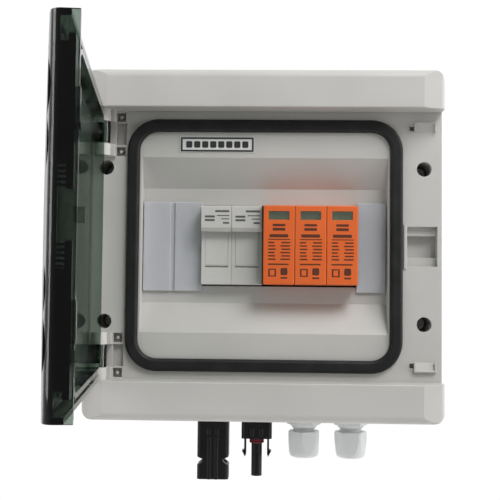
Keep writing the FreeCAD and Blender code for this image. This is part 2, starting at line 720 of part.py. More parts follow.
def door_panel():
    inner = [text + " - rib_thick" for text in ("rib_half_width", "rib_half_height", "rib_corner")]
    rib = rounded("rib_half_width", "rib_half_height", "rib_corner", ("rib_tip", "band_depth - 3.2"), inner)
    added = [rib, *latch_hook()]
    removed = []
    for sign in (1, -1):
        knuckle = mirrored(sign, "knuckle_low", "knuckle_top")
        added.append(door_knuckle(*knuckle))
        added += grip_bar(sign)
        added.append(block(("door_right - door_wall - 2.2", "door_right - 1"),
                           ("recess_depth + 0.3", "door_rim + 3"), mirrored(sign, "31", "47")))
        length = "(%s) - (%s) + 2" % (knuckle[1], knuckle[0])
        foot = ("hinge_x", "hinge_depth", knuckle[0] + " - 1")
        removed.append(rod("hinge_pin + running_gap", foot, "up", length))
        for middle, deep in (("48", "1.4"), ("27", "0.9")):
            removed.append(finger_hollow("%d * %s" % (sign, middle), deep))
    shell = less(door_outside(), *door_hollow())
    return swung_open(less(joined(shell, *added), *removed))


def finger_hollow(centre, deep):
    """A shallow round hollow across the sloped free edge of the door."""
    radius = "30"
    depth = "band_depth - bevel_back / 2 + %s - %s" % (radius, deep)
    return rod(radius, ("box_width / 2 - bevel_end + 4", depth, centre), "right", "bevel_end")


def swung_open(piece):
    """Turns a piece of the shut door about the hinge axis to the door's rest angle."""
    doc.recompute()
    axis = Vector(number("hinge_x"), -number("hinge_depth"), 0)
    piece.Placement = Placement(Vector(), Rotation(Vector(0, 0, 1), -number("door_angle")), axis)
    return piece


# ---- rail and its screws -----------------------------------------------------------------


def din_rail():
    """A top-hat rail, with a hole for each of its two screws."""
    web, lip, sheet_ = "rail_plane - rail_tall", "rail_plane", "rail_sheet"
    half, knee = "rail_half", "(rail_half - 4)"
    section = [(web, "-" + knee), (web, knee), (lip + " - " + sheet_, knee), (lip + " - " + sheet_, half),
               (lip, half), (lip, knee + " - " + sheet_), (web + " + " + sheet_, knee + " - " + sheet_),
               (web + " + " + sheet_, sheet_ + " - " + knee), (lip, sheet_ + " - " + knee), (lip, "-" + half),
               (lip + " - " + sheet_, "-" + half), (lip + " - " + sheet_, "-" + knee)]
    rail = prism("side", section, both("rail_half_length"))
    holes = [rod("2.2", (x, "1", "0"), "front", "rail_plane") for x in ("-rail_screw_x", "rail_screw_x")]
    return less(rail, *holes)


def rail_screws():
    screws = []
    for x in ("-rail_screw_x", "rail_screw_x"):
        seat = "rail_plane - rail_tall + rail_sheet"
        head = rod("3.4", (x, seat, "0"), "front", "2.2")
        shank = rod("1.55", (x, "tray_back + 3", "0"), "front", seat + " - tray_back - 2")
        slot = block(around(x, "4"), (seat + " + 1.2", seat + " + 3"), both("0.5"))
        screws.append(less(joined(head, shank), slot))
    return group(*screws)


# ---- blanking plates ---------------------------------------------------------------------


def blanking_plate(left, right, grooves):
    """A milky plate over an unused stretch of the window, with clips behind its long edges."""
    plate = ("floor_depth", "floor_depth + blank_thick")
    face = block((left, right), plate, around("-blank_drop", "blank_half"))
    added = [face]
    for sign in (1, -1):
        wall = mirrored(sign, "window_half_height - 1.3", "window_half_height - 0.1")
        hook = mirrored(sign, "window_half_height - 1", "window_half_height + 0.8")
        across = (left + " + 1.5", right + " - 1.5")
        added.append(block(across, ("floor_depth - 4.4", "floor_depth + 0.5"), wall))
        added.append(block(across, ("floor_depth - 4.4", "floor_depth - 2.4"), hook))
    cuts = [block(around(x, "1.3"), ("floor_depth + blank_thick - 0.7", "floor_depth + 3"),
                  both("(blank_half + 1)")) for x in grooves]
    return less(joined(*added), *cuts) if cuts else joined(*added)


def blanking_plate_left():
    middle = "(blank_left_end + blank_left_stop) / 2"
    return blanking_plate("blank_left_end", "blank_left_stop", [middle])


def blanking_plate_right():
    return blanking_plate("blank_right_start", "blank_right_end", [])


# ---- rail-mounted modules ----------------------------------------------------------------


def module_section(front):
    """A module seen from the side: body, nose, and a notch that hangs over the rail."""
    rear, half, nose = out("module_rear"), "module_half", "nose_half"
    notch = "(rail_half + 0.2)"
    return [(rear, "-" + half), (out("shoulder"), "-" + half), (out("shoulder"), "-" + nose),
            (out(front), "-" + nose), (out(front), nose), (out("shoulder"), nose), (out("shoulder"), half),
            (rear, half), (rear, notch), (out("-3.2"), notch), (out("-3.2"), "15"), (out("-1.1"), "15"),
            (out("-1.1"), notch), (out("0"), notch), (out("0"), "-" + notch), (rear, "-" + notch)]


def clip_channel(middle):
    """The guide behind a module in which its rail clip slides."""
    return block(around(middle, "4.1"), (out("-3.5"), out("-1.2")), ("-module_half - 1", "-rail_half"))


def rail_clip(middle):
    """A sliding clip whose tongue holds the rail's lower flange, with an eye for a screwdriver."""
    bar = block(around(middle, "4"), (out("-3.4"), out("-1.3")), ("-module_half - 3.5", "-15"))
    eye = block(around(middle, "2"), (out("-4"), out("0")), ("-module_half - 2.5", "-module_half - 1"))
    return less(bar, eye)


def terminal_cuts(middle):
    """For the terminals above and below: a screw well from the front and a wire entry."""
    cuts = []
    for sign, towards in (("", "down"), ("-", "up")):
        cuts.append(rod("3.2", (middle, out("36"), sign + "32"), "front", "10"))
        cuts.append(rod("2.1", (middle, out("22"), sign + "32"), "front", "20"))
        cuts.append(rod("2.7", (middle, out("26"), sign + "(module_half + 1)"), towards, "17"))
    return cuts


def terminal_screw(middle, z):
    """A slotted terminal screw at the bottom of its well."""
    head = rod("3", (middle, out("36.1"), z), "front", "2.6")
    shank = rod("1.9", (middle, out("29.4"), z), "front", "7")
    slot = block(around(middle, "4"), (out("37.6"), out("40")), around(z, "0.45"))
    return less(joined(head, shank), slot)


# ---- fuse holders ------------------------------------------------------------------------


def fuse_middle(left):
    return "(%s + fuse_width / 2)" % left


def fuse_housing(left):
    """The fixed body of a fuse holder, hollow behind its carrier."""
    middle = fuse_middle(left)
    body = prism("side", module_section("fuse_face"), (left, plus(left, "fuse_width")))
    soften(body, "0.6", "right", lambda spot: spot.y < -number(out("shoulder")) + 0.1)
    inside = around(middle, "cavity_half")
    hollow = block(inside, (out("34"), out("fuse_face - 1.6")), ("-21.3", "nose_half - 1.7"))
    mouth = block(inside, (out("40"), out("fuse_face + 1")), ("pivot_up - barrel - 0.2", "nose_half - 1"))
    barrel_room = rod("barrel + 0.2", (inside[0], out("pivot_out"), "pivot_up"), "right", "2 * cavity_half")
    axle_start = (middle + " - cavity_half - 1.6", out("pivot_out"), "pivot_up")
    axle_hole = rod("axle + running_gap", axle_start, "right", "2 * cavity_half + 3.2")
    slots = [block(around(middle, "4.3"), (out("33.9"), out("35.1")), span)
             for span in (("9", "36"), ("-36", "-13"))]
    cuts = [hollow, mouth, barrel_room, axle_hole, *slots, *terminal_cuts(middle), clip_channel(middle)]
    return less(body, *cuts)


def fuse_carrier(left):
    """The swinging carrier: handle, front panel, cradle for the fuse and barrel with axle."""
    middle = fuse_middle(left)
    inside = around(middle, "(cavity_half - 0.1)")
    side_view = [(out("fuse_face + 0.2"), "handle_low + 0.6"), (out("label_face - 1.4"), "handle_low"),
                 (out("label_face"), "handle_low + 2.2"), (out("label_face"), "nose_half - 0.3"),
                 (out("fuse_face + 0.2"), "nose_half - 0.3")]
    handle = prism("side", side_view, (plus(left, "0.05"), plus(left, "fuse_width - 0.05")))
    soften(handle, "0.8", "right", lambda spot: spot.y < -number(out("label_face")) + 0.1)
    panel = block(inside, (out("fuse_face - 2"), out("fuse_face")), ("pivot_up", "handle_low + 6"))
    neck = block(inside, (out("fuse_face - 2"), out("fuse_face + 1")), ("handle_low + 1", "nose_half - 2.5"))
    cradle = block(inside, (out("38"), out("fuse_face - 1")), ("-7", "4"))
    barrel = rod("barrel", (inside[0], out("pivot_out"), "pivot_up"), "right", "2 * cavity_half - 0.2")
    axle_start = (middle + " - cavity_half - 1.5", out("pivot_out"), "pivot_up")
    axle = rod("axle", axle_start, "right", "2 * cavity_half + 3")
    fuse_hole = rod("fuse_radius + 0.05", (middle, out("fuse_out"), "-30"), "up", "60")
    body = joined(handle, panel, neck, cradle, barrel, axle)
    return less(body, fuse_hole)


def fuse_tube(left):
    """The ceramic tube of a 10 by 38 fuse, between its caps."""
    at = (fuse_middle(left), out("fuse_out"), "fuse_low + 9.5")
    return rod("fuse_radius - 0.25", at, "up", "fuse_top - fuse_low - 19")


def fuse_caps(left):
    """The two metal caps of a fuse."""
    caps = []
    for start in ("fuse_low", "fuse_top - 9.5"):
        spots = [("0", "0"), ("fuse_radius - 0.4", "0"), ("fuse_radius", "0.4"), ("fuse_radius", "9.1"),
                 ("fuse_radius - 0.4", "9.5"), ("0", "9.5")]
        caps.append(turned(spots, (fuse_middle(left), out("fuse_out"), start), "up"))
    return group(*caps)


def fuse_clips():
    """Sprung clips at both ends of both fuses: two leaves on a strip that runs to the terminal."""
    clips = []
    for left in ("fuse_first", "fuse_second"):
        middle = fuse_middle(left)
        for leaf, strip in ((("11", "16.5"), ("10", "35.5")), (("-20.5", "-15.5"), ("-35.5", "-14"))):
            pieces = [block(around(middle, "4.2"), (out("34"), out("35")), strip),
                      block(around(middle, "6.2"), (out("34.1"), out("35")), leaf),
                      block((middle + " - 6.2", middle + " - 5.25"), (out("34.5"), out("47")), leaf),
                      block((middle + " + 5.25", middle + " + 6.2"), (out("34.5"), out("47")), leaf)]
            hole = rod("2.1", (middle, out("30"), "32" if leaf[0] == "11" else "-32"), "front", "10")
            clips.append(less(joined(*pieces), hole))
    return group(*clips)


def fuse_terminal_screws():
    screws = []
    for left in ("fuse_first", "fuse_second"):
        for z in ("32", "-32"):
            screws.append(terminal_screw(fuse_middle(left), z))
    return group(*screws)


# ---- surge protector ---------------------------------------------------------------------


def pole_left(pole):
    return "(pole_first + %d * pole_pitch)" % pole


def pole_middle(pole):
    return "(pole_first + %d * pole_pitch + pole_width / 2)" % pole


def spd_base():
    """The black base under the three cartridges, with a seat for each and a thin side wall."""
    body = prism("side", module_section("pole_face - 1.5"), ("surge_left", "surge_right"))
    seats = (out("pole_seat - 0.1"), out("pole_face + 2"))
    cuts = [block(("surge_left + surge_side", "surge_right - 0.1"), seats, both("(nose_half + 1)"))]
    for sign in (1, -1):
        cuts.append(block(("surge_left - 1", "surge_right + 1"), (out("shoulder - 0.01"), out("pole_face")),
                          mirrored(sign, "nose_half - 0.2", "nose_half + 4")))
    for pole in range(3):
        middle = pole_middle(pole)
        for z in ("14", "-14"):
            cuts.append(block(around(middle, "1.8"), (out("9"), out("pole_seat + 1")), around(z, "4")))
        cuts += terminal_cuts(middle)
    cuts.append(clip_channel("((surge_left + surge_right) / 2)"))
    return less(body, *cuts)


def spd_sockets():
    """Sprung copper sockets in the base that grip the cartridges' blades."""
    sockets = []
    for pole in range(3):
        middle = pole_middle(pole)
        for z in ("14", "-14"):
            across = around(z, "3.4")
            foot = block(around(middle, "1.6"), (out("9"), out("10")), across)
            left_leaf = block((middle + " - 1.6", middle + " - 0.6"), (out("9.5"), out("19")), across)
            right_leaf = block((middle + " + 0.6", middle + " + 1.6"), (out("9.5"), out("19")), across)
            sockets.append(joined(foot, left_leaf, right_leaf))
    return group(*sockets)


def spd_terminal_screws():
    screws = []
    for pole in range(3):
        for z in ("32", "-32"):
            screws.append(terminal_screw(pole_middle(pole), z))
    return group(*screws)


def spd_cartridge(pole):
    """An orange plug-in cartridge: a shell, open behind, with a window near its top."""
    left, middle = pole_left(pole), pole_middle(pole)
    half = "(nose_half - 0.2)"
    side_view = [(out("pole_seat"), "-" + half), (out("pole_face"), "-" + half), (out("pole_face"), half),
                 (out("pole_seat"), half)]
    body = prism("side", side_view, (left, plus(left, "pole_width")))
    front = -number(out("pole_face")) + 0.1
    soften(body, "0.7", "right", lambda spot: spot.y < front)
    soften(body, "0.5", "up", lambda spot: spot.y < front)
    hollow = block((left + " + 1.2", plus(left, "pole_width - 1.2")),
                   (out("pole_seat + 1.5"), out("pole_face - 1.6")), both("(nose_half - 1.5)"))
    through = (out("pole_face - 3"), out("pole_face + 1"))
    view = block(around(middle, "view_half"), through, ("view_low", "view_top"))
    slits = [block(around(middle, "0.55"), (out("pole_seat - 1"), out("pole_seat + 3")), around(z, "3.05"))
             for z in ("14", "-14")]
    return less(body, hollow, view, *slits)


def spd_blades(pole):
    """The two blades that plug a cartridge into its base."""
    middle = pole_middle(pole)
    blades = []
    for z in ("14", "-14"):
        blades.append(block(around(middle, "0.5"), (out("11"), out("pole_seat + 5")), around(z, "3")))
    return group(*blades)


def spd_varistor(pole):
    """The coated varistor disc inside a cartridge."""
    middle = pole_middle(pole)
    return rod("16", (middle + " - 2.4", out("pole_seat + 23"), "-2"), "right", "4.8")


def spd_window(pole):
    """The clear lens in a cartridge's indicator window."""
    middle = pole_middle(pole)
    return block(around(middle, "(view_half - 0.05)"), (out("pole_face - 1.4"), out("pole_face - 0.5")),
                 ("view_low + 0.05", "view_top - 0.05"))


def spd_flag(pole):
    """The status flag behind the lens, which drops when the varistor is spent."""
    middle = pole_middle(pole)
    flag = block(around(middle, "6.4"), (out("pole_face - 3"), out("pole_face - 2")),
                 ("view_low - 0.9", "view_top + 0.9"))
    arm = block((middle + " - 6.4", middle + " - 4.4"), (out("pole_face - 3"), out("pole_face - 2")),
                ("view_low - 8", "view_low - 0.5"))
    return joined(flag, arm)


# ---- ports in the bottom wall ------------------------------------------------------------


def below(distance):
    """The height of a point at a distance below the bottom of the box."""
    return "-box_height / 2 - (%s)" % distance


def connector_shell(x, half, end):
    """The outside of a connector with round corners, two bosses on each broad side, and its root."""
    near, far = "port_depth - plug_half_deep", "port_depth + plug_half_deep"
    left, right = around(x, half)
    shell = prism("top", [(left, near), (right, near), (right, far), (left, far)], (below(end), below("0")))
    soften(shell, "2.5", "up")
    root = rod("connector_thread", (x, "port_depth", below("1")), "up", "13")
    pieces = [shell, root]
    for side in ("-", "+"):
        for depth in (near + " + 1", far + " - 1"):
            pieces.append(rod("1.5", (x + " %s boss_x" % side, depth, below("boss_top + 4.4")), "up", "4.4"))
    return pieces


def plus_connector_body():
    """A panel connector: threaded root, oblong shell with two latch windows, open bore."""
    x, low, through = "plus_x", below("plus_end + 1"), ("port_depth - 9", "port_depth + 9")
    pieces, cuts = connector_shell(x, "plus_half", "plus_end"), []
    for side, back in (("-", "+"), ("+", "-")):
        edge = "%s %s plus_half" % (x, side)
        notch = [("%s %s 1" % (edge, side), below("29.4")), ("%s %s 3.4" % (edge, back), below("31")),
                 ("%s %s 3.4" % (edge, back), below("32.4")), ("%s %s 1" % (edge, side), below("35.6"))]
        cuts.append(prism("front", notch, through))
        slot = around("%s %s 7.4" % (x, side), "1.2")
        cuts.append(block(slot, around("port_depth", "3.2"), (low, below("19"))))
        for depth in ("port_depth - plug_half_deep + 0.7", "port_depth + plug_half_deep - 0.7"):
            foot = (x + " %s 2.2" % side, depth, below("plus_end"))
            pieces.append(rod("1.4", foot, "up", "plus_end - 17.4"))
    cuts.append(rod("4.7", (x, "port_depth", low), "up", "25"))
    cuts.append(rod("2.2", (x, "port_depth", below("21")), "up", "40"))
    return less(joined(*pieces), *cuts)


def plus_connector_pin():
    """The turned contact pin in the plus connector."""
    profile = [("0", "0"), ("1.1", "0"), ("1.5", "1.6"), ("1.5", "19"), ("2.2", "19"), ("2.2", "34"),
               ("0", "34")]
    return turned(profile, ("plus_x", "port_depth", below("39")), "up")


def minus_connector_body():
    """The other panel connector: a square collar, two locking arms and a long tube."""
    x = "minus_x"
    pieces = connector_shell(x, "collar_half", "collar_end")
    pieces.append(rod("tube_radius", (x, "port_depth", below("tube_end")), "up", "tube_end - collar_end + 2"))
    pieces.append(rod("tube_radius + 0.3", (x, "port_depth", below("collar_end + 3.2")), "up", "5"))
    barbed = [("6.5", "17"), ("6.5", "28.2"), ("7.2", "29.9"), ("9.1", "26.2"), ("7.7", "25.6"),
              ("7.7", "17")]
    for sign in (1, -1):
        spots = [("%s + %d * %s" % (x, sign, across), below(down)) for across, down in barbed]
        pieces.append(prism("front", spots, around("port_depth", "3")))
    bore = rod("2.3", (x, "port_depth", below("tube_end + 1")), "up", "60")
    return less(joined(*pieces), bore)


def minus_connector_socket():
    """The slotted contact tube in the minus connector."""
    x, low = "minus_x", below("tube_end - 0.8")
    barrel = rod("2.25", (x, "port_depth", below("tube_end - 1.3")), "up", "34")
    hole = rod("1.55", (x, "port_depth", low), "up", "20")
    slit = block(around(x, "0.25"), around("port_depth", "3"), (low, below("29")))
    return less(barrel, hole, slit)


def minus_connector_seal():
    """The red ring that seals the mated connectors, seated against the collar."""
    spots = [("tube_radius + 0.32", "0.5"), ("4.1", "0"), ("4.65", "0.8"), ("4.35", "1.6"), ("4.65", "2.4"),
             ("4.1", "3.2"), ("tube_radius + 0.32", "3")]
    return turned(spots, ("minus_x", "port_depth", below("collar_end + 3.2")), "up")


def lock_nut(x, across, radius):
    """A hexagonal nut on the inside of the bottom wall."""
    seat = "tray_wall - box_height / 2"
    nut = hexagon(across, (x, "port_depth", seat), "4")
    return less(nut, rod(radius + " + 0.03", (x, "port_depth", seat + " - 1"), "up", "6"))


def connector_lock_nuts():
    return group(*[lock_nut(x, "17", "connector_thread") for x in ("plus_x", "minus_x")])


def gland_lock_nuts():
    return group(*[lock_nut(x, "22", "gland_thread") for x in ("gland_first_x", "gland_second_x")])


def gland_bodies():
    """The bodies of the two glands: thread through the wall, hexagon, neck and clamping jaws."""
    bodies, wide = [], "gland_flats / 2 - 0.1"
    cone_profile = [("0", "0"), ("6.3", "0"), (wide, "2.6"), (wide, "3"), ("0", "3")]
    for x in ("gland_first_x", "gland_second_x"):
        base = hexagon("gland_flats", (x, "port_depth", below("9.6")), "8.6")
        cone = turned(cone_profile, (x, "port_depth", below("12.4")), "up")
        thread = rod("gland_thread", (x, "port_depth", below("2")), "up", "11")
        neck = rod("6.3", (x, "port_depth", below("17")), "up", "8")
        nut_thread = rod("6.9", (x, "port_depth", below("21")), "up", "7")
        jaws = rod("6.2", (x, "port_depth", below("25")), "up", "9")
        bore = rod("5.4", (x, "port_depth", below("26")), "up", "40")
        bodies.append(less(joined(base, cone, thread, neck, nut_thread, jaws), bore))
    return group(*bodies)


def gland_washers():
    """Flat sealing washers between the glands and the box."""
    washers = []
    for x in ("gland_first_x", "gland_second_x"):
        disc = rod("gland_flats / 2", (x, "port_depth", below("1")), "up", "1")
        washers.append(less(disc, rod("gland_thread + 0.05", (x, "port_depth", below("2")), "up", "3")))
    return group(*washers)


def gland_inserts():
    """The soft sleeves that close on a cable when the dome nuts are tightened."""
    sleeves = []
    for x in ("gland_first_x", "gland_second_x"):
        sleeve = rod("5.35", (x, "port_depth", below("26.3")), "up", "11")
        sleeves.append(less(sleeve, rod("gland_bore", (x, "port_depth", below("27")), "up", "13")))
    return group(*sleeves)


def gland_nut(x, turn):
    """A dome nut: a hexagon at the top that narrows to a round open end."""
    at = (x, "port_depth", below("nut_end"))
    profile = [("0", "0"), ("7.2", "0"), ("8.6", "1"), ("9.2", "3"), ("9.6", "7"), ("10", "11"),
               ("10", "nut_long - 0.5"), ("9.5", "nut_long"), ("0", "nut_long")]
    outside = shared(hexagon("gland_flats", at, "nut_long", turn), turned(profile, at, "up"))
    inside = [("0", "-1"), ("5.3", "-1"), ("5.3", "2.6"), ("7.05", "5"), ("7.05", "nut_long + 1"),
              ("0", "nut_long + 1")]
    return less(outside, turned(inside, at, "up"))


# ---- wires -------------------------------------------------------------------------------


def wire(spots):
    """A flexible insulated wire through (x, depth, z) spots, bent at each one between its ends."""
    bend = number("wire_bend")
    corners = [Vector(number(x), -number(depth), number(z)) for x, depth, z in spots]
    edges, start = [], corners[0]
    for before, corner, after in zip(corners, corners[1:], corners[2:]):
        arriving, leaving = (corner - before).normalize(), (after - corner).normalize()
        half_turn = arriving.getAngle(leaving) / 2
        reach = bend * math.tan(half_turn)
        begin, end = corner - arriving * reach, corner + leaving * reach
        inward = (leaving - arriving).normalize()
        middle = corner + inward * (bend / math.cos(half_turn) - bend)
        edges.append(Part.LineSegment(start, begin).toShape())
        edges.append(Part.Arc(begin, middle, end).toShape())
        start = end
    edges.append(Part.LineSegment(start, corners[-1]).toShape())
    section = Part.Wire(Part.Circle(corners[0], corners[1] - corners[0], number("wire_radius")).toShape())
    thing = doc.addObject("Part::Feature", "Wire")
    thing.Shape = Part.Wire(edges).makePipeShell([section], True, False)
    return thing


def cable(port_x, left):
    """A wire from a connector in the bottom wall up to the lower terminal of a fuse holder."""
    middle, entry = fuse_middle(left), out("26")
    return wire([(port_x, "port_depth", "-96"), (port_x, "port_depth", "-74"), (middle, entry, "-54"),
                    (middle, entry, "-34")])


def cable_positive():
    return cable("plus_x", "fuse_first")


def cable_negative():
    return cable("minus_x", "fuse_second")


def link(start_x, end_x, rise, lean):
    """A looped wire between two upper terminals."""
    entry, near = out("26"), out("26 + %s" % lean)
    return wire([(start_x, entry, "34"), (start_x, entry, "50"), (start_x, near, rise),
                    (end_x, near, rise), (end_x, entry, "50"), (end_x, entry, "34")])


def link_positive():
    return link(fuse_middle("fuse_first"), pole_middle(0), "76", "-7")


def link_negative():
    return link(fuse_middle("fuse_second"), pole_middle(2), "70", "4")


# ---- the set of sub-parts ----------------------------------------------------------------

SINGLE_PIECES = [
    base_tray, front_cover, cover_gasket, door_seal, cover_screws, hinge_pins, way_label, door_panel,
    din_rail, rail_screws, blanking_plate_left, blanking_plate_right, fuse_clips, fuse_terminal_screws,
    spd_base, spd_sockets, spd_terminal_screws, plus_connector_body, plus_connector_pin,
    minus_connector_body, minus_connector_socket, minus_connector_seal, connector_lock_nuts,
    gland_bodies, gland_washers, gland_inserts, gland_lock_nuts,
    cable_positive, cable_negative, link_positive, link_negative,
]
for build in SINGLE_PIECES:
    node(build.__name__, build())
for side, left in (("left", "fuse_first"), ("right", "fuse_second")):
    node("fuse_holder_" + side, fuse_housing(left))
    node("fuse_carrier_" + side, fuse_carrier(left))
    node("fuse_tube_" + side, fuse_tube(left))
    node("fuse_caps_" + side, fuse_caps(left))
    node("fuse_rail_clip_" + side, rail_clip(fuse_middle(left)))
node("spd_rail_clip", rail_clip("((surge_left + surge_right) / 2)"))
for pole in range(3):
    place = "_%d" % (pole + 1)
    node("spd_cartridge" + place, spd_cartridge(pole))
    node("spd_blades" + place, spd_blades(pole))
    node("spd_varistor" + place, spd_varistor(pole))
    node("spd_window" + place, spd_window(pole))
    node("spd_flag" + place, spd_flag(pole))
node("gland_nut_left", gland_nut("gland_first_x", 20))
node("gland_nut_right", gland_nut("gland_second_x", 0))


def save():
    """Recomputes the document, checks every object in it and writes each sub-part."""
    doc.recompute()
    for thing in doc.Objects:
        if {"Invalid", "Error"} & set(thing.State):
            raise RuntimeError("%s (%s) did not recompute: %s" % (thing.Label, thing.Name, thing.State))
    os.makedirs("parts", exist_ok=True)
    for piece in sub_parts:
        if piece.Shape.isNull() or not piece.Shape.isValid() or not piece.Shape.Solids:
            raise RuntimeError(piece.Label + " has no valid solid")
        piece.Shape.exportStep("parts/%s.step" % piece.Label)


save()
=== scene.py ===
# The looks of a wall-mounted DC combiner box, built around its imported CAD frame.
# Lengths are in metres. The front faces -Y, +X is to the right and +Z is up.
import json
import math

import bmesh
import bpy
from mathutils import Matrix, Vector


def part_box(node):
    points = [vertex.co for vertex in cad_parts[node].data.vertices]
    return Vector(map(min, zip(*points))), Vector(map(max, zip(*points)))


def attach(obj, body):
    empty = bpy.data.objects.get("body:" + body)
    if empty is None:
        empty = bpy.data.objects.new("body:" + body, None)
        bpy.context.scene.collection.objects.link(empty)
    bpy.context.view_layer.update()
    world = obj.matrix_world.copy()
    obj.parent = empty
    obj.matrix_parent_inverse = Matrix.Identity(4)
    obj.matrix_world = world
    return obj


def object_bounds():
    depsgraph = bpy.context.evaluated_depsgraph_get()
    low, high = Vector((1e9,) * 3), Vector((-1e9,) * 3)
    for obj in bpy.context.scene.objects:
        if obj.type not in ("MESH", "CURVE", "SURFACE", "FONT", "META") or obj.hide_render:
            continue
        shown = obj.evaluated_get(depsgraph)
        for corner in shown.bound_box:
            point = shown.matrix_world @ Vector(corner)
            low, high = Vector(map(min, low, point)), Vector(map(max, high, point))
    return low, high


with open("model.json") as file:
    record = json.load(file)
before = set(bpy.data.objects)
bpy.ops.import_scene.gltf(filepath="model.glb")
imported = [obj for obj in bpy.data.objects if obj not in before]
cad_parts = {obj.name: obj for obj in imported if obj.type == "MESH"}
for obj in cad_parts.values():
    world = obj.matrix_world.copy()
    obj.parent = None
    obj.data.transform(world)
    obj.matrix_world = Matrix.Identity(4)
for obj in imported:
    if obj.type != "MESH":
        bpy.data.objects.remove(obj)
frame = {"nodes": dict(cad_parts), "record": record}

MM = 0.001
cad_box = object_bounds()
nodes = frame["nodes"]


# ---- node trees --------------------------------------------------------------------------


def blank_material(name):
    material = bpy.data.materials.new(name)
    material.use_nodes = True
    material.node_tree.nodes.clear()
    return material, material.node_tree


def add(tree, kind, inputs=None, **settings):
    """A new shader node, with its inputs set to values or linked to other nodes' outputs."""
    node = tree.nodes.new("ShaderNode" + kind)
    for name, value in settings.items():
        setattr(node, name, value)
    for name, value in (inputs or {}).items():
        if isinstance(value, bpy.types.NodeSocket):
            tree.links.new(value, node.inputs[name])
        else:
            node.inputs[name].default_value = value
    return node


def finish_material(tree, shader, volume=None):
    output = add(tree, "OutputMaterial", {"Surface": shader})
    if volume:
        tree.links.new(volume, output.inputs["Volume"])


def place_in(tree, stretch=(1, 1, 1)):
    """The place of a point on its own piece, optionally scaled along each axis."""
    where = add(tree, "TexCoord").outputs["Object"]
    if stretch == (1, 1, 1):
        return where
    return add(tree, "Mapping", {"Vector": where, "Scale": stretch}).outputs["Vector"]


def grain(tree, size, detail=3.0, stretch=(1, 1, 1)):
    """Noise between 0 and 1 whose blotches are about one size across."""
    inputs = {"Vector": place_in(tree, stretch), "Scale": 1 / size, "Detail": detail}
    return add(tree, "TexNoise", inputs).outputs["Fac"]


def spread(tree, value, low, high, start=0.3, end=0.7):
    """Maps a noise value onto a range."""
    inputs = {"Value": value, "From Min": start, "From Max": end, "To Min": low, "To Max": high}
    return add(tree, "MapRange", inputs).outputs["Result"]


def blend(tree, share, first, second, kind="MIX"):
    """A mix of two colours, each given as a linear triple or as an output."""
    node = add(tree, "Mix", data_type="RGBA", blend_type=kind, clamp_factor=True)
    for index, value in ((0, share), (6, first), (7, second)):
        if isinstance(value, bpy.types.NodeSocket):
            tree.links.new(value, node.inputs[index])
        else:
            node.inputs[index].default_value = (*value, 1) if index else value
    return node.outputs[2]


def shade(colour, amount):
    return tuple(min(1.0, channel * amount) for channel in colour)


def crevices(tree, reach):
    """1 in the open and less where other surfaces crowd in within a reach."""
    return add(tree, "AmbientOcclusion", {"Distance": reach}, samples=6).outputs["AO"]


def soft_edges(tree, radius):
    """A normal that rounds every edge, and how strongly it differs from the real one there."""
    rounded = add(tree, "Bevel", {"Radius": radius}, samples=6).outputs["Normal"]
    true = add(tree, "NewGeometry").outputs["Normal"]
    likeness = add(tree, "VectorMath", {0: rounded, 1: true}, operation="DOT_PRODUCT").outputs["Value"]
    return rounded, spread(tree, likeness, 1.0, 0.0, 0.9, 1.0)


def bumped(tree, height, depth, normal=None):
    inputs = {"Height": height, "Distance": depth, "Strength": 1.0}
    if normal:
        inputs["Normal"] = normal
    return add(tree, "Bump", inputs).outputs["Normal"]


# ---- materials ---------------------------------------------------------------------------


def moulded_plastic(name, colour, roughness, texture=0.45 * MM, relief=0.012 * MM, edge=0.3 * MM,
                    edge_wear_and_highlight=0.10, painted_crevice_shade=0.30, extra=None):
    """Injection-moulded plastic: eroded texture, slow colour drift, edges painted paler for wear and as a painted
    highlight, and painted shade darkening its corners.
    """
    material, tree = blank_material(name)
    normal, edges = soft_edges(tree, edge)
    drift = spread(tree, grain(tree, 35 * MM, 4.0), 0.0, 1.0)
    body = blend(tree, drift, shade(colour, 0.96), shade(colour, 1.03))
    fine = grain(tree, texture, 4.0)
    body = blend(tree, spread(tree, fine, 0.0, 0.25), body, shade(colour, 0.93))
    # Edges are painted paler: partly edge wear, partly a painted highlight.
    lit = add(tree, "Math", {0: edges, 1: edge_wear_and_highlight}, operation="MULTIPLY").outputs["Value"]
    body = blend(tree, lit, body, shade(colour, 1.5))
    # Painted shade: corners and recesses found by ambient occlusion are darkened towards 45 % of the colour.
    corner = spread(tree, crevices(tree, 4 * MM), painted_crevice_shade, 0.0, 0.25, 0.85)
    body = blend(tree, corner, body, shade(colour, 0.45))
    rough = spread(tree, grain(tree, 9 * MM, 5.0), roughness - 0.05, roughness + 0.07)
    inputs = {"Base Color": body, "Roughness": rough, "Normal": bumped(tree, fine, relief, normal),
              "IOR": 1.52, **(extra or {})}
    finish_material(tree, add(tree, "BsdfPrincipled", inputs).outputs["BSDF"])
    return material


def rubber(name, colour, dust=0.10):
    """Matt extruded rubber with a fine skin, a faint haze of dust and light specks."""
    material, tree = blank_material(name)
    normal = soft_edges(tree, 0.25 * MM)[0]
    fine = grain(tree, 0.25 * MM, 5.0)
    haze = spread(tree, grain(tree, 14 * MM, 6.0), 0.0, dust, 0.45, 0.75)
    body = blend(tree, haze, colour, (0.16, 0.155, 0.15))
    speck = spread(tree, grain(tree, 0.8 * MM, 2.0), 0.0, 0.5, 0.66, 0.74)
    body = blend(tree, speck, body, shade(colour, 2.2))
    rough = spread(tree, grain(tree, 5 * MM, 4.0), 0.46, 0.66)
    inputs = {"Base Color": body, "Roughness": rough, "Normal": bumped(tree, fine, 0.02 * MM, normal),
              "Specular IOR Level": 0.34}
    finish_material(tree, add(tree, "BsdfPrincipled", inputs).outputs["BSDF"])
    return material


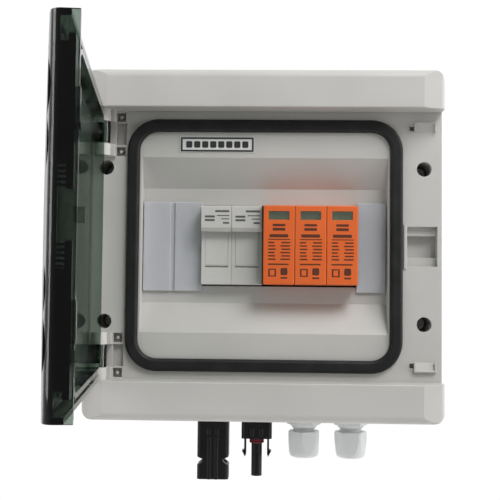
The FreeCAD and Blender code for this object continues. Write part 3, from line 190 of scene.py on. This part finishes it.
def plated_metal(name, colour, roughness, stretch=(1, 1, 1), stain=(0.35, 0.33, 0.30)):
    """Plated or drawn metal with fine scratches along one way and slight staining."""
    material, tree = blank_material(name)
    normal, edges = soft_edges(tree, 0.15 * MM)
    scratch = grain(tree, 0.4 * MM, 6.0, stretch)
    stained = spread(tree, grain(tree, 4 * MM, 5.0), 0.0, 0.35, 0.5, 0.8)
    body = blend(tree, stained, colour, stain)
    # Painted highlight: edges are painted paler than the plating.
    body = blend(tree, edges, body, shade(colour, 1.25))
    rough = spread(tree, scratch, roughness - 0.06, roughness + 0.10)
    inputs = {"Base Color": body, "Metallic": 1.0, "Roughness": rough,
              "Normal": bumped(tree, scratch, 0.006 * MM, normal)}
    finish_material(tree, add(tree, "BsdfPrincipled", inputs).outputs["BSDF"])
    return material


def smoked_polycarbonate(name, density):
    """Clear tinted plastic that darkens with its thickness, polished, with faint hairlines."""
    material, tree = blank_material(name)
    hair = grain(tree, 0.7 * MM, 3.0, (0.04, 0.04, 1))
    normal = bumped(tree, hair, 0.0015 * MM)
    rough = spread(tree, grain(tree, 12 * MM, 4.0), 0.015, 0.06)
    glass = add(tree, "BsdfPrincipled", {
        "Base Color": (0.95, 0.98, 0.96, 1), "Roughness": rough, "IOR": 1.58,
        "Transmission Weight": 1.0, "Normal": normal})
    clear = add(tree, "BsdfTransparent", {"Color": (0.93, 0.95, 0.94, 1)})
    shadow = add(tree, "LightPath").outputs["Is Shadow Ray"]
    shader = add(tree, "MixShader", {0: shadow, 1: glass.outputs["BSDF"], 2: clear.outputs["BSDF"]})
    smoke = add(tree, "VolumeAbsorption", {"Color": (0.70, 0.74, 0.712, 1), "Density": density})
    finish_material(tree, shader.outputs["Shader"], smoke.outputs["Volume"])
    return material


def milky_plastic(name, colour):
    """Translucent blanking-plate plastic: cloudy inside, faintly blue, satin outside."""
    cloudy = {"Subsurface Weight": 0.55, "Subsurface Radius": (1.0, 1.1, 1.3), "Subsurface Scale": 1.6 * MM}
    return moulded_plastic(name, colour, 0.36, 0.6 * MM, 0.006 * MM, 0.25 * MM, 0.25, 0.25, cloudy)


def clear_lens(name):
    """A small clear window with a cool film of reflection."""
    material, tree = blank_material(name)
    haze = spread(tree, grain(tree, 1.5 * MM, 3.0), 0.03, 0.12)
    inputs = {"Base Color": (0.72, 0.80, 0.70, 1), "Roughness": haze, "IOR": 1.5,
              "Transmission Weight": 1.0, "Coat Weight": 0.6, "Coat Roughness": 0.12}
    glass = add(tree, "BsdfPrincipled", inputs)
    clear = add(tree, "BsdfTransparent", {"Color": (0.86, 0.90, 0.84, 1)})
    shadow = add(tree, "LightPath").outputs["Is Shadow Ray"]
    shader = add(tree, "MixShader", {0: shadow, 1: glass.outputs["BSDF"], 2: clear.outputs["BSDF"]})
    finish_material(tree, shader.outputs["Shader"])
    return material


def ceramic(name, colour):
    """Unglazed white ceramic with fine pits and a few darker specks."""
    material, tree = blank_material(name)
    fine = grain(tree, 0.3 * MM, 5.0)
    speck = spread(tree, grain(tree, 0.9 * MM, 2.0), 0.0, 0.6, 0.68, 0.76)
    body = blend(tree, speck, colour, (0.45, 0.40, 0.33))
    rough = spread(tree, fine, 0.42, 0.62)
    inputs = {"Base Color": body, "Roughness": rough, "Normal": bumped(tree, fine, 0.03 * MM)}
    finish_material(tree, add(tree, "BsdfPrincipled", inputs).outputs["BSDF"])
    return material


def insulation(name, colour):
    """Glossy extruded cable insulation with a faint drag pattern along its length."""
    material, tree = blank_material(name)
    fine = grain(tree, 0.6 * MM, 4.0, (1, 1, 0.15))
    body = blend(tree, spread(tree, fine, 0.0, 1.0), shade(colour, 0.85), shade(colour, 1.15))
    rough = spread(tree, grain(tree, 3 * MM, 3.0), 0.26, 0.40)
    inputs = {"Base Color": body, "Roughness": rough, "Normal": bumped(tree, fine, 0.012 * MM)}
    finish_material(tree, add(tree, "BsdfPrincipled", inputs).outputs["BSDF"])
    return material


def vinyl_label(name, colour):
    """Smooth white label film over paper, with faint fibres."""
    material, tree = blank_material(name)
    fibre = grain(tree, 0.5 * MM, 6.0, (0.3, 1, 1))
    body = blend(tree, spread(tree, fibre, 0.0, 1.0), shade(colour, 0.97), shade(colour, 1.02))
    inputs = {"Base Color": body, "Roughness": spread(tree, fibre, 0.30, 0.42),
              "Normal": bumped(tree, fibre, 0.004 * MM), "Coat Weight": 0.25, "Coat Roughness": 0.25}
    finish_material(tree, add(tree, "BsdfPrincipled", inputs).outputs["BSDF"])
    return material


def printing_ink(name, colour, fade):
    """Pad-printed ink, thin in places so that the base shows through a little."""
    material, tree = blank_material(name)
    thin = spread(tree, grain(tree, 0.35 * MM, 4.0), 0.0, 1.0, 0.35, 0.75)
    body = blend(tree, thin, colour, fade)
    inputs = {"Base Color": body, "Roughness": spread(tree, thin, 0.5, 0.65)}
    finish_material(tree, add(tree, "BsdfPrincipled", inputs).outputs["BSDF"])
    return material


DARK_SATIN = {"Specular IOR Level": 0.30}
materials = {
    "box_plastic": moulded_plastic("box_plastic", (0.565, 0.552, 0.527), 0.44),
    "seal_rubber": rubber("seal_rubber", (0.010, 0.010, 0.0105), 0.07),
    "screw_steel": plated_metal("screw_steel", (0.55, 0.55, 0.56), 0.34),
    "pin_steel": plated_metal("pin_steel", (0.62, 0.62, 0.63), 0.24, (1, 1, 0.1)),
    "label": vinyl_label("label", (0.74, 0.75, 0.73)),
    "smoky_plastic": smoked_polycarbonate("smoky_plastic", 1950),
    "rail_steel": plated_metal("rail_steel", (0.62, 0.63, 0.62), 0.30, (0.05, 1, 1)),
    "milky_plastic": milky_plastic("milky_plastic", (0.58, 0.585, 0.615)),
    "copper": plated_metal("copper", (0.80, 0.44, 0.24), 0.28, (1, 1, 0.2), (0.30, 0.16, 0.10)),
    "black_plastic": moulded_plastic("black_plastic", (0.016, 0.016, 0.017), 0.42, edge_wear_and_highlight=0.04),
    "connector_plastic": moulded_plastic("connector_plastic", (0.0075, 0.0075, 0.008), 0.36, 0.5 * MM,
                                         0.008 * MM, 0.45 * MM, 0.03, 0.2, DARK_SATIN),
    "tinned_metal": plated_metal("tinned_metal", (0.72, 0.71, 0.68), 0.26),
    "red_rubber": rubber("red_rubber", (0.13, 0.006, 0.014), 0.02),
    "gland_plastic": moulded_plastic("gland_plastic", (0.78, 0.80, 0.81), 0.36, 0.6 * MM, 0.008 * MM, 0.4 * MM),
    "wire_red": insulation("wire_red", (0.45, 0.015, 0.012)),
    "wire_black": insulation("wire_black", (0.014, 0.014, 0.015)),
    "fuse_ceramic": ceramic("fuse_ceramic", (0.78, 0.76, 0.70)),
    "white_plastic": moulded_plastic("white_plastic", (0.64, 0.625, 0.60), 0.38, 0.4 * MM, 0.008 * MM, 0.25 * MM),
    "clip_plastic": moulded_plastic("clip_plastic", (0.22, 0.225, 0.23), 0.42),
    "orange_plastic": moulded_plastic("orange_plastic", (0.80, 0.145, 0.028), 0.40, 0.4 * MM, 0.008 * MM,
                                      0.3 * MM, 0.12, 0.25),
    "varistor_coating": moulded_plastic("varistor_coating", (0.035, 0.085, 0.28), 0.30, 1.2 * MM, 0.03 * MM),
    "clear_window": clear_lens("clear_window"),
    "flag_green": moulded_plastic("flag_green", (0.075, 0.078, 0.040), 0.35),
}
for part in frame["record"]["subparts"]:
    mesh = nodes[part["node"]].data
    mesh.materials.clear()
    mesh.materials.append(materials[part["material_slot"]])


# ---- printed marks -----------------------------------------------------------------------


def tile(shell, low, high, front, thick, corner):
    """Adds one thin tile with round corners, facing -Y, to a mesh being built."""
    steps = 4
    ring = []
    for turn, (x, z) in enumerate(((high[0], high[1]), (low[0], high[1]), (low[0], low[1]), (high[0], low[1]))):
        centre_x = x - corner * (1 if turn in (0, 3) else -1)
        centre_z = z - corner * (1 if turn in (0, 1) else -1)
        for step in range(steps + 1):
            angle = (turn + step / steps) * math.pi / 2
            ring.append((centre_x + corner * math.cos(angle), centre_z + corner * math.sin(angle)))
    near = [shell.verts.new((x, front - thick, z)) for x, z in ring]
    far = [shell.verts.new((x, front, z)) for x, z in ring]
    shell.faces.new(near)
    shell.faces.new(far[::-1])
    count = len(ring)
    for here in range(count):
        after = (here + 1) % count
        shell.faces.new((near[here], far[here], far[after], near[after]))


def keep_mesh(name, shell, material, body):
    """Turns a built mesh into a piece that rides on a body."""
    bmesh.ops.recalc_face_normals(shell, faces=shell.faces)
    mesh = bpy.data.meshes.new(name)
    shell.to_mesh(mesh)
    shell.free()
    mesh.materials.append(material)
    piece = bpy.data.objects.new(name, mesh)
    bpy.context.scene.collection.objects.link(piece)
    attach(piece, body)
    return piece


def print_marks(name, face, marks, ink, body):
    """Thin printed bars. A face is its low corner, high corner and front, a mark is four shares."""
    (left, bottom), (right, top), front = face
    wide, tall = right - left, top - bottom
    shell = bmesh.new()
    for start, end, upper, lower in marks:
        low = (left + wide * start, top - tall * lower)
        high = (left + wide * end, top - tall * upper)
        corner = 0.22 * min(high[0] - low[0], high[1] - low[1])
        tile(shell, low, high, front, PRINT_THICK, corner)
    return keep_mesh(name, shell, ink, body)


def front_face(node):
    """The front of a node's box: low corner, high corner and the place of the front."""
    low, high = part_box(node)
    return (low.x, low.z), (high.x, high.z), low.y


def frame_marks(left, right, top, bottom, line_across, line_up):
    """Four bars that form a rectangular outline."""
    return [(left, right, top, top + line_up), (left, right, bottom - line_up, bottom),
            (left, left + line_across, top + line_up, bottom - line_up),
            (right - line_across, right, top + line_up, bottom - line_up)]


PRINT_THICK = 0.03 * MM
black_ink = printing_ink("black_ink", (0.018, 0.018, 0.018), (0.05, 0.05, 0.05))
grey_ink = printing_ink("grey_ink", (0.06, 0.06, 0.06), (0.18, 0.18, 0.175))
brown_ink = printing_ink("brown_ink", (0.055, 0.016, 0.008), (0.17, 0.042, 0.015))

label_marks = frame_marks(0.008, 0.992, 0.035, 0.965, 0.026, 0.122)
for way in range(8):
    middle = 0.5 + (way - 3.5) * 0.108
    label_marks.append((middle - 0.042, middle + 0.042, 0.29, 0.71))
print_marks("label_print", front_face("way_label"), label_marks, black_ink, "box")

handle_marks = [(0.12, 0.45, 0.38, 0.46), (0.12, 0.45, 0.52, 0.60), (0.46, 0.93, 0.17, 0.25),
                (0.52, 0.93, 0.36, 0.40), (0.66, 0.93, 0.49, 0.53), (0.72, 0.93, 0.63, 0.70)]
HANDLE_TALL = 14.6 * MM
for side in ("left", "right"):
    low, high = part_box("fuse_carrier_" + side)
    handle = ((low.x, high.z - HANDLE_TALL), (high.x, high.z), low.y)
    print_marks("fuse_print_" + side, handle, handle_marks, grey_ink, "carrier_" + side)

data_marks = [(0.30, 0.70, 0.235, 0.265), (0.30, 0.70, 0.285, 0.32), (0.20, 0.80, 0.365, 0.405),
              (0.16, 0.86, 0.425, 0.437)]
for row in range(6):
    upper = 0.462 + 0.042 * row
    data_marks.append((0.16, 0.36 + 0.02 * (row % 3), upper, upper + 0.018))
    data_marks.append((0.58 - 0.03 * (row % 2), 0.86, upper, upper + 0.018))
data_marks.append((0.16, 0.82, 0.735, 0.753))
data_marks += frame_marks(0.17, 0.42, 0.80, 0.90, 0.05, 0.014)
data_marks += [(0.56, 0.78, 0.79, 0.88), (0.56, 0.78, 0.905, 0.925)]
for pole in (1, 2, 3):
    face = front_face("spd_cartridge_%d" % pole)
    print_marks("surge_print_%d" % pole, face, data_marks, brown_ink, "cartridge_%d" % pole)


# ---- light, floor and camera -------------------------------------------------------------


def aim(thing, target):
    thing.rotation_mode = "QUATERNION"
    thing.rotation_quaternion = (Vector(target) - thing.location).to_track_quat("-Z", "Y")


def soft_light(name, place, size, power, target=(0, 0, 0)):
    lamp = bpy.data.lights.new(name, "AREA")
    lamp.shape = "RECTANGLE"
    lamp.size, lamp.size_y = size
    lamp.energy = power
    thing = bpy.data.objects.new(name, lamp)
    thing.location = place
    bpy.context.scene.collection.objects.link(thing)
    aim(thing, target)
    return thing


def studio():
    """A white surround, dimmer behind the camera, with a softbox above right and one at each side."""
    world = bpy.data.worlds.new("studio")
    world.use_nodes = True
    tree = world.node_tree
    tree.nodes.clear()
    seen = add(tree, "Background", {"Color": (1, 1, 1, 1), "Strength": 1.02})
    ahead = add(tree, "SeparateXYZ", {0: add(tree, "TexCoord").outputs["Generated"]}).outputs["Y"]
    strength = spread(tree, ahead, 0.14, 1.0, -1.0, 1.0)
    lighting = add(tree, "Background", {"Color": (0.99, 0.99, 1.0, 1), "Strength": strength})
    path = add(tree, "LightPath")
    direct = add(tree, "Math", {0: path.outputs["Is Camera Ray"], 1: path.outputs["Is Transmission Ray"]},
                 operation="MAXIMUM").outputs["Value"]
    mixed = add(tree, "MixShader", {0: direct, 1: lighting.outputs["Background"], 2: seen.outputs["Background"]})
    add(tree, "OutputWorld", {"Surface": mixed.outputs["Shader"]})
    bpy.context.scene.world = world
    soft_light("key", (0.55, -0.75, 0.95), (0.7, 0.5), 11.4)
    soft_light("right_fill", (1.1, -0.35, 0.15), (0.6, 0.9), 5.8)
    soft_light("left_fill", (-1.1, -0.55, 0.25), (0.6, 0.9), 5.4)


def floor():
    """A pale round floor that fades into the surround, and can't be seen from underneath."""
    shell = bmesh.new()
    bmesh.ops.create_circle(shell, cap_ends=True, segments=96, radius=3.0)
    mesh = bpy.data.meshes.new("floor")
    shell.to_mesh(mesh)
    shell.free()
    thing = bpy.data.objects.new("floor", mesh)
    thing.location = (0, 0, cad_box[0].z - 0.22)
    bpy.context.scene.collection.objects.link(thing)
    material, tree = blank_material("pale_floor")
    away = add(tree, "VectorMath", {0: place_in(tree)}, operation="LENGTH").outputs["Value"]
    gone = spread(tree, away, 0.0, 1.0, 0.2, 0.85)
    under = add(tree, "NewGeometry").outputs["Backfacing"]
    hidden = add(tree, "Math", {0: gone, 1: under}, operation="MAXIMUM").outputs["Value"]
    paint = add(tree, "BsdfPrincipled", {"Base Color": (0.90, 0.90, 0.89, 1), "Roughness": 0.75})
    clear = add(tree, "BsdfTransparent")
    shader = add(tree, "MixShader", {0: hidden, 1: paint.outputs["BSDF"], 2: clear.outputs["BSDF"]})
    finish_material(tree, shader.outputs["Shader"])
    mesh.materials.append(material)


def front_camera():
    """Stands in front of the box a little below its middle and looks slightly up."""
    yaw, pitch, roll = (math.radians(angle) for angle in (-1.89, 2.84, -0.61))
    right, up, forward = Vector((1, 0, 0)), Vector((0, 0, 1)), Vector((0, 1, 0))
    right, forward = (right * math.cos(yaw) - forward * math.sin(yaw),
                      right * math.sin(yaw) + forward * math.cos(yaw))
    up, forward = (up * math.cos(pitch) - forward * math.sin(pitch),
                   up * math.sin(pitch) + forward * math.cos(pitch))
    right, up = (right * math.cos(roll) - up * math.sin(roll),
                 right * math.sin(roll) + up * math.cos(roll))
    lens = bpy.data.cameras.new("camera")
    lens.sensor_width = 36
    lens.lens = 67.17
    lens.clip_start, lens.clip_end = 0.01, 20
    thing = bpy.data.objects.new("camera", lens)
    axes = Matrix((right, up, -forward)).transposed()
    thing.matrix_world = Matrix.Translation((9.6 * MM, -610 * MM, -29 * MM)) @ axes.to_4x4()
    bpy.context.scene.collection.objects.link(thing)
    bpy.context.scene.camera = thing


studio()
floor()
front_camera()
bpy.context.scene.view_settings.view_transform = "Standard"
bpy.context.view_layer.update()
